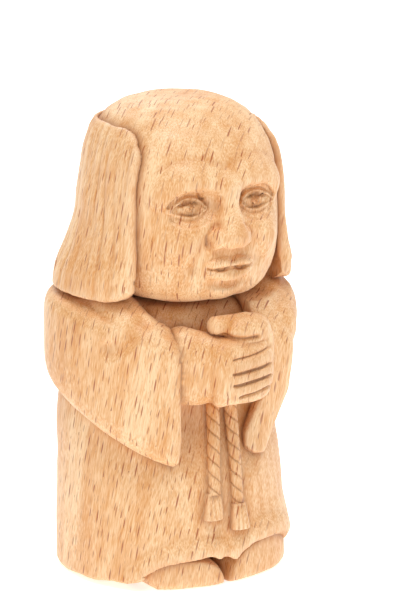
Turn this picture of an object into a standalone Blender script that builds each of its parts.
"""Carved beech figurine of a standing monk with clasped hands and two hanging girdle cords.

Each form that the carver cut free of its neighbours is one closed solid: the robe, the head, two curtains of
hair, two sleeves, two hands, two cords with their tassels, and two feet. They seat on each other with a thin
seam. Lengths are in metres, +Z is up and the figure faces -Y, so its right hand is at -X. The origin is on the
floor, under the middle of the skirt.
"""

import math

import bmesh
import bpy
import numpy as np
from mathutils import Matrix, Vector

MM = 0.001

# Gap that two neighbouring forms keep along the seam between them
SEAM = 0.3 * MM

# Robe: the column that carries every other form
SKIRT_HALF_WIDTH = 28.6 * MM
SKIRT_FRONT = 26.6 * MM
SKIRT_BACK = 25.8 * MM
SKIRT_HEIGHT = 12.0 * MM
HEM_ROUND = 1.6 * MM
WAIST_HALF_WIDTH = 27.4 * MM
WAIST_FRONT = 23.6 * MM
WAIST_BACK = 25.2 * MM
WAIST_HEIGHT = 38.0 * MM
CHEST_HALF_WIDTH = 24.5 * MM
CHEST_FRONT = 20.4 * MM
CHEST_BACK = 22.8 * MM
CHEST_HEIGHT = 60.0 * MM
SHOULDER_TOP = 69.5 * MM
ROBE_SQUARENESS = 2.0
HEM_SQUARENESS = 2.25

# Head: a rounded block that overhangs the chest, with a short neck peg in the robe
HEAD_HEIGHT = 48.7 * MM
HEAD_HALF_WIDTH = 22.4 * MM
HEAD_FRONT = 21.6 * MM
HEAD_BACK = 24.0 * MM
HEAD_FORWARD = 4.4 * MM
HEAD_LEAN = 2.4 * MM
HEAD_SQUARENESS = 2.4
CROWN_ROUNDNESS = 2.85
JAW_ROUNDNESS = 4.6
NECK_RADIUS = 11.0 * MM
NECK_DEPTH = 4.0 * MM

# Nose: a plain wedge, a third of the face long
NOSE_LENGTH = 13.5 * MM
NOSE_HALF_WIDTH = 3.9 * MM
NOSE_RISE = 4.4 * MM
NOSE_TIP_SHARE = 0.31

# Hair: a thick curtain round the sides and back of the head, parted at the back
HAIR_THICKNESS = 1.3 * MM
HAIR_FLARE_SIDE = 8.4 * MM
HAIR_FLARE_BACK = 4.2 * MM
HAIR_SET_BACK = 5.8 * MM
HAIR_END_SQUARENESS = 2.0
HAIR_TOP_DROP = 6.4 * MM
HAIR_END_RISE = 2.0 * MM
HAIR_END_ROUND = 1.6 * MM
HAIR_FRONT = 16.2 * MM
HAIR_FRONT_SLANT = 0.8 * MM
HAIR_CORNER_RADIUS = 8.0 * MM

# Sleeves: full bell sleeves whose lower edge falls towards the cuff
RIGHT_SLEEVE_REACH = 31.8 * MM
LEFT_SLEEVE_REACH = 30.6 * MM
RIGHT_SLEEVE_HALF_WIDTH = 20.3 * MM
LEFT_SLEEVE_HALF_WIDTH = 19.1 * MM
SLEEVE_CENTRE_Y = 1.5 * MM
SLEEVE_FRONT = 27.0 * MM
SLEEVE_BACK = 21.5 * MM
SLEEVE_TOP_RISE = 2.4 * MM
SLEEVE_SQUARENESS = 2.05
ELBOW_HEIGHT = 47.0 * MM
RIGHT_ELBOW_ROUNDNESS = 5.0
LEFT_ELBOW_ROUNDNESS = 1.6
SHOULDER_ROUNDNESS = 7.0
RIGHT_CUFF_X = 13.0 * MM
LEFT_CUFF_X = 9.5 * MM
RIGHT_CUFF_DROP = 19.0 * MM
LEFT_CUFF_DROP = 40.0 * MM
CUFF_TOP_DROP = 5.6 * MM
RIGHT_CUFF_CURVE = 2.0
LEFT_CUFF_CURVE = 6.5

# Hands: the right hand lies over the left one in front of the chest
HAND_FRONT = 31.8 * MM
HAND_DEPTH = 12.0 * MM
HAND_BOTTOM = 46.2 * MM
HAND_SLOPE = 0.58
RIGHT_HAND_HEIGHT = 17.0 * MM
LEFT_HAND_HEIGHT = 19.4 * MM
LEFT_HAND_SET_BACK = 2.4 * MM
HAND_SQUARENESS = 3.0
WRIST_LENGTH = 5.0 * MM
KNUCKLE_X = -1.5 * MM
FINGER_COUNT = 4
FINGER_LENGTH = 8.4 * MM
FINGER_RADIUS = 2.35 * MM
FINGER_PITCH = 3.6 * MM
FINGER_RISE = 1.4 * MM
FINGER_SINK = 1.2 * MM
THUMB_RADIUS = 2.6 * MM
THUMB_TIP_X = -6.4 * MM

# Girdle cords: two strands in half relief on the front of the robe, each with a tassel
CORD_HALF_WIDTH = 2.0 * MM
CORD_RELIEF = 1.8 * MM
CORD_X = 2.5 * MM
CORD_TOP = 50.0 * MM
TASSEL_HALF_WIDTH = 2.7 * MM
TASSEL_LENGTH = 6.4 * MM
TASSEL_RELIEF = 2.2 * MM
RIGHT_TASSEL_X = -4.3 * MM
RIGHT_TASSEL_END = 17.6 * MM
LEFT_TASSEL_X = 3.2 * MM
LEFT_TASSEL_END = 14.2 * MM

# Feet: two round shoe tips under arches of the hem, placed by the skirt's width, with a notch between them
RIGHT_FOOT_X = 0.37 * SKIRT_HALF_WIDTH
LEFT_FOOT_X = 0.42 * SKIRT_HALF_WIDTH
RIGHT_FOOT_HALF_WIDTH = 0.343 * SKIRT_HALF_WIDTH
LEFT_FOOT_HALF_WIDTH = 0.395 * SKIRT_HALF_WIDTH
FOOT_FRONT = 31.0 * MM
FOOT_LENGTH = 27.0 * MM
RIGHT_FOOT_HEIGHT = 7.8 * MM
LEFT_FOOT_HEIGHT = 10.0 * MM
FOOT_ROUNDNESS = 2.6
HEM_OVERHANG = 0.8 * MM
NOTCH_HEIGHT = 7.0 * MM
NOTCH_HALF_WIDTH = 3.4 * MM

# Shape of the robe and the hair behind the middle, rounder than a plain ellipse
BACK_SQUARENESS = 2.35

# Mesh density
ROBE_SIDES = 44
HEAD_SIDES = 36
HEAD_LEVELS = 16
HAIR_LEVELS = 10
SLEEVE_SIDES = 36
SLEEVE_LEVELS = 12
SMALL_SIDES = 16
SMALL_LEVELS = 10
STEPS_BETWEEN_STATIONS = 2

# Values that follow from the ones above
HEAD_BASE = SHOULDER_TOP + SEAM
CROWN = HEAD_BASE + HEAD_HEIGHT
RIGHT, LEFT = -1, 1
SLEEVE_REACH = {RIGHT: RIGHT_SLEEVE_REACH, LEFT: LEFT_SLEEVE_REACH}
SLEEVE_HALF_WIDTH = {RIGHT: RIGHT_SLEEVE_HALF_WIDTH, LEFT: LEFT_SLEEVE_HALF_WIDTH}
CUFF_X = {RIGHT: RIGHT_CUFF_X, LEFT: LEFT_CUFF_X}
CUFF_DROP = {RIGHT: RIGHT_CUFF_DROP, LEFT: LEFT_CUFF_DROP}
CUFF_CURVE = {RIGHT: RIGHT_CUFF_CURVE, LEFT: LEFT_CUFF_CURVE}
ELBOW_ROUNDNESS = {RIGHT: RIGHT_ELBOW_ROUNDNESS, LEFT: LEFT_ELBOW_ROUNDNESS}
FOOT_X = {RIGHT: -RIGHT_FOOT_X, LEFT: LEFT_FOOT_X}
FOOT_HALF_WIDTH = {RIGHT: RIGHT_FOOT_HALF_WIDTH, LEFT: LEFT_FOOT_HALF_WIDTH}
FOOT_HEIGHT = {RIGHT: RIGHT_FOOT_HEIGHT, LEFT: LEFT_FOOT_HEIGHT}
TASSEL_X = {RIGHT: RIGHT_TASSEL_X, LEFT: LEFT_TASSEL_X}
TASSEL_END = {RIGHT: RIGHT_TASSEL_END, LEFT: LEFT_TASSEL_END}
FAR = 80 * MM

# Beech, as sRGB, from the palest faces to the deepest valleys
BEECH_COLOURS = {
    "robe": (0.94, 0.75, 0.54),
    "head": (0.94, 0.76, 0.57),
    "hair": (0.93, 0.74, 0.55),
    "sleeve": (0.95, 0.77, 0.57),
    "hand": (0.91, 0.71, 0.50),
    "cord": (0.91, 0.70, 0.48),
    "foot": (0.94, 0.75, 0.55),
}
BEECH_ROUGHNESS = 0.55


def to_linear(channel):
    """One sRGB channel as linear light."""
    return channel / 12.92 if channel <= 0.04045 else ((channel + 0.055) / 1.055) ** 2.4


def beech(form):
    """Oiled beech in the tone of one form of the carving."""
    material = bpy.data.materials.new("beech_" + form)
    material.use_nodes = True
    shader = material.node_tree.nodes["Principled BSDF"]
    colour = [to_linear(channel) for channel in BEECH_COLOURS[form]]
    shader.inputs["Base Color"].default_value = (*colour, 1.0)
    shader.inputs["Roughness"].default_value = BEECH_ROUGHNESS
    shader.inputs["Metallic"].default_value = 0.0
    return material


def add_object(name, mesh, collection):
    """A new object that holds the mesh, in the collection."""
    thing = bpy.data.objects.new(name, mesh)
    collection.objects.link(thing)
    return thing


def add_part(name, mesh, form):
    """A visible form of the carving, smooth but for its cut edges."""
    part = add_object(name, mesh, PARTS)
    part.data.materials.append(beech(form))
    part.data.shade_smooth()
    part.data.set_sharp_from_angle(angle=math.radians(40))
    return part


def add_cutter(name, mesh):
    """A hidden solid that only shapes other forms."""
    cutter = add_object(name, mesh, CUTTERS)
    cutter.hide_render = True
    cutter.display_type = "WIRE"
    return cutter


def boolean(part, operation, *others):
    """Joins, cuts or keeps the part with other solids, in the order given."""
    for other in others:
        modifier = part.modifiers.new(operation.lower() + "_" + other.name, "BOOLEAN")
        modifier.operation = operation
        modifier.solver = "EXACT"
        modifier.object = other


def smooth_through(knots, values, at):
    """Values of a smooth curve through the knots, which never overshoots them."""
    steps = np.diff(knots)
    slopes = np.diff(values) / steps
    tangents = np.concatenate([slopes[:1], np.zeros(len(knots) - 2), slopes[-1:]])
    for i in range(1, len(knots) - 1):
        before, after = slopes[i - 1], slopes[i]
        if before * after > 0:
            tangents[i] = 2 * before * after / (before + after)
    index = np.clip(np.searchsorted(knots, at, side="right") - 1, 0, len(steps) - 1)
    t = (at - knots[index]) / steps[index]
    rise = (3 - 2 * t) * t * t
    start_pull = t * (1 - t) ** 2 * steps[index] * tangents[index]
    end_pull = t * t * (t - 1) * steps[index] * tangents[index + 1]
    return values[index] * (1 - rise) + values[index + 1] * rise + start_pull + end_pull


def outline(x, y, half_width, front, back, squareness, sides):
    """Plan points of a rounded outline, anticlockwise from +X, with its own depth before and behind (x, y).

    squareness is one power for the whole outline, or one for the front and one for the back.
    """
    turn = np.linspace(0, 2 * math.pi, sides, endpoint=False)
    across, along = np.cos(turn), np.sin(turn)
    depth = np.where(along < 0, front, back)
    power = 2 / np.where(along < 0, *np.broadcast_to(squareness, 2))
    px = x + half_width * np.sign(across) * np.abs(across) ** power
    py = y + depth * np.sign(along) * np.abs(along) ** power
    return np.column_stack([px, py])


def skin(rings):
    """Closed mesh over a stack of rings, lowest first, each an array of points with as many sides."""
    form = bmesh.new()
    rows = [[form.verts.new(point) for point in ring] for ring in rings]
    sides = len(rows[0])
    for lower, upper in zip(rows, rows[1:]):
        for i in range(sides):
            j = (i + 1) % sides
            form.faces.new((lower[i], lower[j], upper[j], upper[i]))
    for row, is_top in ((rows[0], False), (rows[-1], True)):
        centre = form.verts.new(sum((v.co for v in row), Vector()) / sides)
        for i in range(sides):
            j = (i + 1) % sides
            form.faces.new((row[i], row[j], centre) if is_top else (row[j], row[i], centre))
    mesh = bpy.data.meshes.new("form")
    form.to_mesh(mesh)
    form.free()
    return mesh


def lofted(stations, sides, grow=0.0, flat_base=False):
    """Closed mesh through stations, lowest first, grown all round.

    A station is (height, y, half_width, front, back, squareness of the front).
    """
    table = np.array(stations, float)
    table[:, 2:5] += grow
    table[0, 0] -= 0.0 if flat_base else grow
    table[-1, 0] += grow
    heights = table[:, 0]
    spans = zip(heights[:-1], heights[1:])
    levels = [np.linspace(low, high, STEPS_BETWEEN_STATIONS, endpoint=False) for low, high in spans]
    levels = np.concatenate([*levels, heights[-1:]])
    columns = [smooth_through(heights, column, levels) for column in table[:, 1:].T]
    rings = []
    for z, y, half_width, front, back, squareness in zip(levels, *columns):
        plan = outline(0.0, y, half_width, front, back, (squareness, BACK_SQUARENESS), sides)
        rings.append(np.column_stack([plan, np.full(sides, z)]))
    return skin(rings)


def round_share(share, low, high):
    """Width of a rounded block at a share of its height, with its own roundness below and above the middle."""
    power = low if share < 0.5 else high
    return max(1e-3, 1 - abs(2 * share - 1) ** power) ** (1 / power)


def pillow(x, y, bottom, top, half_width, front, back, squareness, low, high, sides, levels,
           lean=0.0, warp=None, grow=0.0):
    """Rounded block from bottom to top. lean moves its middle back on the way up, and warp moves its points."""
    rings = []
    for i in range(1, levels):
        share = (1 - math.cos(math.pi * i / levels)) / 2
        width = round_share(share, low, high)
        height = bottom - grow + share * (top - bottom + 2 * grow)
        middle = y + lean * (share - 0.5)
        sizes = [(half_width + grow) * width, (front + grow) * width, (back + grow) * width]
        plan = outline(x, middle, *sizes, squareness, sides)
        ring = np.column_stack([plan, np.full(sides, height)])
        rings.append(warp(ring, share) if warp else ring)
    return skin(rings)


def capsule(start, end, radius, grow=0.0):
    """Round-ended rod between two points."""
    start, end = Vector(start), Vector(end)
    form = bmesh.new()
    bmesh.ops.create_uvsphere(form, u_segments=SMALL_SIDES, v_segments=SMALL_SIDES // 2 - 1,
                              radius=radius + grow)
    for vert in form.verts:
        if vert.co.z > 0:
            vert.co.z += (end - start).length
    turn = (end - start).to_track_quat("Z", "Y").to_matrix().to_4x4()
    form.transform(Matrix.Translation(start) @ turn)
    mesh = bpy.data.meshes.new("capsule")
    form.to_mesh(mesh)
    form.free()
    return mesh


def block(low, high):
    """Plain box between two corners."""
    low, high = Vector(low), Vector(high)
    form = bmesh.new()
    bmesh.ops.create_cube(form, size=1.0)
    form.transform(Matrix.Translation((low + high) / 2) @ Matrix.Diagonal((*(high - low), 1.0)))
    mesh = bpy.data.meshes.new("block")
    form.to_mesh(mesh)
    form.free()
    return mesh


def side_prism(points, reach):
    """Outline of (y, z) points in side view, extruded across the figure."""
    form = bmesh.new()
    face = form.faces.new([form.verts.new((-reach, y, z)) for y, z in points])
    pushed = bmesh.ops.extrude_face_region(form, geom=[face])
    verts = [item for item in pushed["geom"] if isinstance(item, bmesh.types.BMVert)]
    bmesh.ops.translate(form, vec=(2 * reach, 0, 0), verts=verts)
    bmesh.ops.recalc_face_normals(form, faces=form.faces)
    mesh = bpy.data.meshes.new("prism")
    form.to_mesh(mesh)
    form.free()
    return mesh


def robe_stations():
    """Heights and sizes of the robe: rounded hem, skirt, waist, chest and sloping shoulders."""
    neck = NECK_RADIUS + 1.5 * MM
    slope = SHOULDER_TOP - CHEST_HEIGHT
    shoulder = [(share, math.sqrt(1 - share**2.6)) for share in (0.45, 0.75, 0.92)]
    stations = [
        (0.0, SKIRT_HALF_WIDTH - HEM_ROUND, SKIRT_FRONT - HEM_ROUND, SKIRT_BACK - HEM_ROUND),
        (HEM_ROUND * 0.3, SKIRT_HALF_WIDTH - HEM_ROUND * 0.3, SKIRT_FRONT - HEM_ROUND * 0.3,
         SKIRT_BACK - HEM_ROUND * 0.3),
        (HEM_ROUND, SKIRT_HALF_WIDTH, SKIRT_FRONT, SKIRT_BACK),
        (SKIRT_HEIGHT, SKIRT_HALF_WIDTH, SKIRT_FRONT - 0.4 * MM, SKIRT_BACK),
        (WAIST_HEIGHT, WAIST_HALF_WIDTH, WAIST_FRONT, WAIST_BACK),
        (CHEST_HEIGHT, CHEST_HALF_WIDTH, CHEST_FRONT, CHEST_BACK),
    ]
    for share, width in shoulder:
        stations.append((CHEST_HEIGHT + slope * share,
                         neck + (CHEST_HALF_WIDTH - neck) * width,
                         neck + (CHEST_FRONT - neck) * width,
                         neck + (CHEST_BACK - neck) * width))
    stations.append((SHOULDER_TOP, neck, neck, neck))
    powers = [HEM_SQUARENESS if height <= SKIRT_HEIGHT else ROBE_SQUARENESS for height, *_ in stations]
    return [(height, 0.0, *sizes, power) for (height, *sizes), power in zip(stations, powers)]


def robe_form(grow=0.0):
    """The robe before its neighbours are cut out of it."""
    return lofted(robe_stations(), ROBE_SIDES, grow, flat_base=True)


def robe_front_at(x, z):
    """y of the robe's front surface at a place across and up the figure."""
    table = np.array(robe_stations())
    columns = (table[:, 2], table[:, 3], table[:, 5])
    half_width, front, power = [smooth_through(table[:, 0], column, np.array([z]))[0] for column in columns]
    return -front * (1 - abs(x / half_width) ** power) ** (1 / power)


def head_middle(share):
    """y of the head's middle at a share of its height: it leans back towards the crown."""
    return -HEAD_FORWARD + HEAD_LEAN * (share - 0.5)


def head_form(grow=0.0):
    """The head's rounded block, without the nose and the neck."""
    return pillow(0.0, -HEAD_FORWARD, HEAD_BASE, CROWN, HEAD_HALF_WIDTH, HEAD_FRONT, HEAD_BACK,
                  HEAD_SQUARENESS, JAW_ROUNDNESS, CROWN_ROUNDNESS, HEAD_SIDES, HEAD_LEVELS,
                  lean=HEAD_LEAN, grow=grow)


def neck_form(grow=0.0):
    """Round peg from inside the head into the robe, on the head's own middle line."""
    low, high = SHOULDER_TOP - NECK_DEPTH - grow, HEAD_BASE + NECK_DEPTH
    form = bmesh.new()
    bmesh.ops.create_cone(form, cap_ends=True, segments=SMALL_SIDES, radius1=NECK_RADIUS + grow,
                          radius2=NECK_RADIUS + grow, depth=high - low)
    form.transform(Matrix.Translation((0, 0, (low + high) / 2)))
    mesh = bpy.data.meshes.new("neck")
    form.to_mesh(mesh)
    form.free()
    return mesh


def nose_form():
    """Wedge that widens from the brow to the tip."""
    tip = HEAD_BASE + NOSE_TIP_SHARE * HEAD_HEIGHT
    root = tip + NOSE_LENGTH
    share = (tip - HEAD_BASE) / HEAD_HEIGHT
    face = head_middle(share) - HEAD_FRONT * round_share(share, JAW_ROUNDNESS, CROWN_ROUNDNESS)
    anchor = face + NOSE_RISE
    stations = [(tip, anchor, NOSE_HALF_WIDTH * 0.75, NOSE_RISE * 1.75, NOSE_RISE, 2.0),
                (tip + NOSE_LENGTH * 0.10, anchor, NOSE_HALF_WIDTH, NOSE_RISE * 2.0, NOSE_RISE, 2.0),
                (tip + NOSE_LENGTH * 0.30, anchor, NOSE_HALF_WIDTH * 0.9, NOSE_RISE * 1.85, NOSE_RISE, 2.0),
                (root, anchor, NOSE_HALF_WIDTH * 0.5, NOSE_RISE * 1.05, NOSE_RISE, 2.0)]
    return lofted(stations, SMALL_SIDES)


def hair_form(grow=0.0):
    """Outer mass of the hair: it follows the crown, hangs straight, and flares towards its ends."""
    stations = []
    bottom, top = HAIR_END_RISE / HEAD_HEIGHT, 1 - 0.6 * HAIR_TOP_DROP / HEAD_HEIGHT
    for share in np.linspace(bottom, top, HAIR_LEVELS):
        width = round_share(max(share, 0.5), JAW_ROUNDNESS, CROWN_ROUNDNESS)
        fall = max(0.0, 1 - 2 * share) ** 1.5
        tuck = HAIR_END_ROUND * max(0.0, 1 - (share - bottom) * HEAD_HEIGHT / (2 * HAIR_END_ROUND)) ** 2
        layer = HAIR_THICKNESS - tuck
        set_back = HAIR_SET_BACK * fall
        stations.append((HEAD_BASE + share * HEAD_HEIGHT,
                         head_middle(max(share, 0.5)) + set_back,
                         HEAD_HALF_WIDTH * width + layer + HAIR_FLARE_SIDE * fall,
                         HEAD_FRONT * width + layer + set_back,
                         HEAD_BACK * width + layer + HAIR_FLARE_BACK * fall - set_back,
                         HEAD_SQUARENESS + (HAIR_END_SQUARENESS - HEAD_SQUARENESS) * fall))
    return lofted(stations, ROBE_SIDES, grow)


def hair_side_view():
    """Side outline that the hair keeps: a slanted front edge, a rounded top corner and a level top edge."""
    low, high = HEAD_BASE - HAIR_END_RISE, CROWN - HAIR_TOP_DROP
    radius = HAIR_CORNER_RADIUS
    turns = [math.radians(a) for a in range(180, 89, -15)]
    corner = [(-HAIR_FRONT + radius * (1 + math.cos(a)), high + radius * (math.sin(a) - 1)) for a in turns]
    return side_prism([(-HAIR_FRONT - HAIR_FRONT_SLANT, low), *corner, (FAR, high), (FAR, low)], FAR)


def sleeve_form(side, grow=0.0):
    """One bell sleeve, before the robe and the cuff's plane are cut away. side is RIGHT or LEFT."""
    back_end = SLEEVE_CENTRE_Y + SLEEVE_BACK
    front_end = SLEEVE_CENTRE_Y - SLEEVE_FRONT

    def fall_to_cuff(ring, share):
        way = np.clip((back_end - ring[:, 1]) / (back_end - front_end), 0, None) ** CUFF_CURVE[side]
        ring[:, 2] -= way * (CUFF_DROP[side] + (CUFF_TOP_DROP - CUFF_DROP[side]) * share)
        return ring

    half_width = SLEEVE_HALF_WIDTH[side]
    return pillow(side * (SLEEVE_REACH[side] - half_width), SLEEVE_CENTRE_Y, ELBOW_HEIGHT,
                  SHOULDER_TOP + SLEEVE_TOP_RISE, half_width, SLEEVE_FRONT, SLEEVE_BACK, SLEEVE_SQUARENESS,
                  ELBOW_ROUNDNESS[side], SHOULDER_ROUNDNESS, SLEEVE_SIDES, SLEEVE_LEVELS, warp=fall_to_cuff,
                  grow=grow)


def palm_form(side, grow=0.0):
    """Back of one hand, which slopes forward from the wrist inside its cuff."""
    outer = CUFF_X[side] + WRIST_LENGTH
    inner = -KNUCKLE_X if side == RIGHT else 0.0
    height = RIGHT_HAND_HEIGHT if side == RIGHT else LEFT_HAND_HEIGHT
    set_back = 0.0 if side == RIGHT else LEFT_HAND_SET_BACK
    half_depth = HAND_DEPTH / 2

    def slope_back(ring, share):
        ring[:, 1] += HAND_SLOPE * np.clip(side * ring[:, 0] - inner, 0, None)
        return ring

    return pillow(side * (outer + inner) / 2, -HAND_FRONT + set_back + half_depth, HAND_BOTTOM,
                  HAND_BOTTOM + height, (outer - inner) / 2, half_depth, half_depth,
                  HAND_SQUARENESS, HAND_SQUARENESS, HAND_SQUARENESS, SMALL_SIDES, SMALL_LEVELS,
                  warp=slope_back, grow=grow)


def finger_forms(grow=0.0):
    """The right hand's fingers, lowest first, from the knuckles across the left hand."""
    y = -HAND_FRONT + FINGER_RADIUS
    for i in range(FINGER_COUNT):
        z = HAND_BOTTOM + FINGER_RADIUS + i * FINGER_PITCH
        start = (KNUCKLE_X - FINGER_RADIUS, y + FINGER_SINK, z)
        end = (KNUCKLE_X + FINGER_LENGTH, y + FINGER_SINK, z + FINGER_RISE)
        yield capsule(start, end, FINGER_RADIUS, grow)


def thumb_form(grow=0.0):
    """The left thumb, across the top of the right hand."""
    y = -HAND_FRONT + HAND_DEPTH / 2
    z = HAND_BOTTOM + LEFT_HAND_HEIGHT
    return capsule((THUMB_TIP_X + THUMB_RADIUS, y, z), (LEFT_CUFF_X / 2, y, z), THUMB_RADIUS, grow)


def strand(side, heights, half_widths, relief):
    """Upright strand of oval rings on the robe's front, which bends from under the hands to its tassel."""
    rings = []
    start, stop = side * CORD_X, TASSEL_X[side]
    for z, half_width in zip(heights, half_widths):
        share = (CORD_TOP - z) / (CORD_TOP - TASSEL_END[side])
        x = start + (stop - start) * share**2
        plan = outline(x, robe_front_at(x, z), half_width, relief, relief, 2.4, SMALL_SIDES)
        rings.append(np.column_stack([plan, np.full(SMALL_SIDES, z)]))
    return skin(rings)


def cord_form(side):
    """One strand, from under the hands to the seam above its tassel."""
    heights = np.linspace(TASSEL_END[side] + TASSEL_LENGTH + SEAM, CORD_TOP, 8)
    return strand(side, heights, [CORD_HALF_WIDTH] * len(heights), CORD_RELIEF)


def tassel_form(side):
    """The tassel below a cord, a little wider towards its end."""
    heights = np.linspace(TASSEL_END[side], TASSEL_END[side] + TASSEL_LENGTH, 4)
    widths = np.linspace(TASSEL_HALF_WIDTH, (TASSEL_HALF_WIDTH + CORD_HALF_WIDTH) / 2, len(heights))
    return strand(side, heights, widths, TASSEL_RELIEF)


def foot_form(side):
    """One shoe, as a rounded block whose upper half stands on the floor."""
    height, half_length = FOOT_HEIGHT[side], FOOT_LENGTH / 2
    return pillow(FOOT_X[side], -FOOT_FRONT + half_length, -height, height, FOOT_HALF_WIDTH[side], half_length,
                  half_length, FOOT_ROUNDNESS, FOOT_ROUNDNESS, FOOT_ROUNDNESS, 2 * SMALL_SIDES,
                  2 * SMALL_LEVELS)


def arch_ring(x, y, half_width, height):
    """Upright oval ring across the figure, in the shape of a shoe's section, with its middle below the floor."""
    plan = outline(x, -SEAM, half_width, height + SEAM, height + SEAM, FOOT_ROUNDNESS, 2 * SMALL_SIDES)
    return np.column_stack([plan[:, 0], np.full(len(plan), y), plan[:, 1]])


def foot_seat(side):
    """Recess for one shoe: round behind, and open as an arch through the hem in front."""
    half_width, height = FOOT_HALF_WIDTH[side] + SEAM, FOOT_HEIGHT[side] + SEAM
    half_length = FOOT_LENGTH / 2 + SEAM
    middle = -FOOT_FRONT + FOOT_LENGTH / 2
    rings = []
    for i in range(1, SMALL_LEVELS + 1):
        share = (1 - math.cos(math.pi * i / (2 * SMALL_LEVELS))) / 2
        width = round_share(share, FOOT_ROUNDNESS, FOOT_ROUNDNESS)
        y = middle + half_length * (1 - 2 * share)
        rings.append(arch_ring(FOOT_X[side], y, half_width * width, height * width))
    rings.append(arch_ring(FOOT_X[side], -FAR, half_width, height))
    return skin(rings)


def hem_notch():
    """Notch in the hem between the shoes."""
    depths = (-FOOT_FRONT + 0.6 * FOOT_LENGTH, -FAR)
    return skin([arch_ring(0.0, y, NOTCH_HALF_WIDTH, NOTCH_HEIGHT) for y in depths])


def build_cutters():
    """Hidden copies of the forms, grown by the seam, that seat each form on its neighbours."""
    made = {
        "robe": robe_form(SEAM),
        "head": head_form(SEAM),
        "neck": neck_form(),
        "neck_socket": neck_form(SEAM),
        "nose": nose_form(),
        "hair_outline": hair_side_view(),
        "thumb": thumb_form(),
        "thumb_seat": thumb_form(SEAM),
        "palm_right_seat": palm_form(RIGHT, SEAM),
        "palm_left_seat": palm_form(LEFT, SEAM),
        "hem_inside": robe_form(-HEM_OVERHANG),
        "hem_notch": hem_notch(),
    }
    for i, (finger, seat) in enumerate(zip(finger_forms(), finger_forms(SEAM)), 1):
        made[f"finger_{i}"] = finger
        made[f"finger_{i}_seat"] = seat
    for side, name in ((RIGHT, "right"), (LEFT, "left")):
        inner, outer = sorted((-side * FAR, side * CUFF_X[side]))
        made["cuff_" + name] = block((inner, -FAR, -FAR), (outer, SLEEVE_CENTRE_Y, 2 * FAR))
        inner, outer = sorted((-side * FAR, side * SEAM / 2))
        made["parting_" + name] = block((inner, -FAR, -FAR), (outer, FAR, 2 * FAR))
        made["sleeve_" + name] = sleeve_form(side, SEAM)
        made["foot_seat_" + name] = foot_seat(side)
    return {name: add_cutter("cut_" + name, mesh) for name, mesh in made.items()}


def build_robe(cut):
    """The robe, with a socket for the neck, a recess for each foot, and a notch between them."""
    robe = add_part("robe", robe_form(), "robe")
    boolean(robe, "DIFFERENCE", cut["neck_socket"], cut["hem_notch"])
    boolean(robe, "DIFFERENCE", cut["foot_seat_right"], cut["foot_seat_left"])


def build_head(cut):
    """The bald head with its nose and its neck peg."""
    head = add_part("head", head_form(), "head")
    boolean(head, "UNION", cut["neck"], cut["nose"])


def build_hair(cut):
    """Two curtains of hair, seated on the head, the shoulders and the sleeves."""
    for name in ("right", "left"):
        hair = add_part("hair_" + name, hair_form(), "hair")
        boolean(hair, "INTERSECT", cut["hair_outline"])
        boolean(hair, "DIFFERENCE", cut["parting_" + name], cut["head"], cut["robe"], cut["sleeve_" + name])


def build_sleeves(cut, hand_seats):
    """Two sleeves round the robe, each with a flat cuff that its hand comes out of."""
    for side, name in ((RIGHT, "right"), (LEFT, "left")):
        sleeve = add_part("sleeve_" + name, sleeve_form(side), "sleeve")
        boolean(sleeve, "DIFFERENCE", cut["cuff_" + name], cut["parting_" + name], cut["robe"], cut["head"],
                cut["neck_socket"], *hand_seats[name])


def build_hands(cut, fingers, hand_seats):
    """The right hand with its fingers, and the left one behind it with the thumb on top."""
    right = add_part("hand_right", palm_form(RIGHT), "hand")
    boolean(right, "UNION", *fingers)
    boolean(right, "DIFFERENCE", cut["robe"])
    left = add_part("hand_left", palm_form(LEFT), "hand")
    boolean(left, "UNION", cut["thumb"])
    boolean(left, "DIFFERENCE", cut["robe"], *hand_seats["right"])


def build_cords(cut, hand_seats):
    """Two cords and their tassels in half relief on the robe."""
    for side, name in ((RIGHT, "right"), (LEFT, "left")):
        cord = add_part("cord_" + name, cord_form(side), "cord")
        boolean(cord, "DIFFERENCE", cut["robe"], *hand_seats["right"], *hand_seats["left"])
        tassel = add_part("tassel_" + name, tassel_form(side), "cord")
        boolean(tassel, "DIFFERENCE", cut["robe"])


def build_feet(cut):
    """Two shoe tips, flat on the floor and flush behind the hem's edge."""
    for side, name in ((RIGHT, "right"), (LEFT, "left")):
        foot = add_part("foot_" + name, foot_form(side), "foot")
        boolean(foot, "INTERSECT", cut["hem_inside"])


for old in list(bpy.data.objects):
    bpy.data.objects.remove(old)
PARTS = bpy.data.collections.new("carved_monk_figurine")
CUTTERS = bpy.data.collections.new("cutters")
for made in (PARTS, CUTTERS):
    bpy.context.scene.collection.children.link(made)

CUT = build_cutters()
FINGERS = [CUT[f"finger_{i}"] for i in range(1, FINGER_COUNT + 1)]
HAND_SEATS = {
    "right": [CUT["palm_right_seat"], *(CUT[f"finger_{i}_seat"] for i in range(1, FINGER_COUNT + 1))],
    "left": [CUT["palm_left_seat"], CUT["thumb_seat"]],
}
build_robe(CUT)
build_head(CUT)
build_hair(CUT)
build_sleeves(CUT, HAND_SEATS)
build_hands(CUT, FINGERS, HAND_SEATS)
build_cords(CUT, HAND_SEATS)
build_feet(CUT)
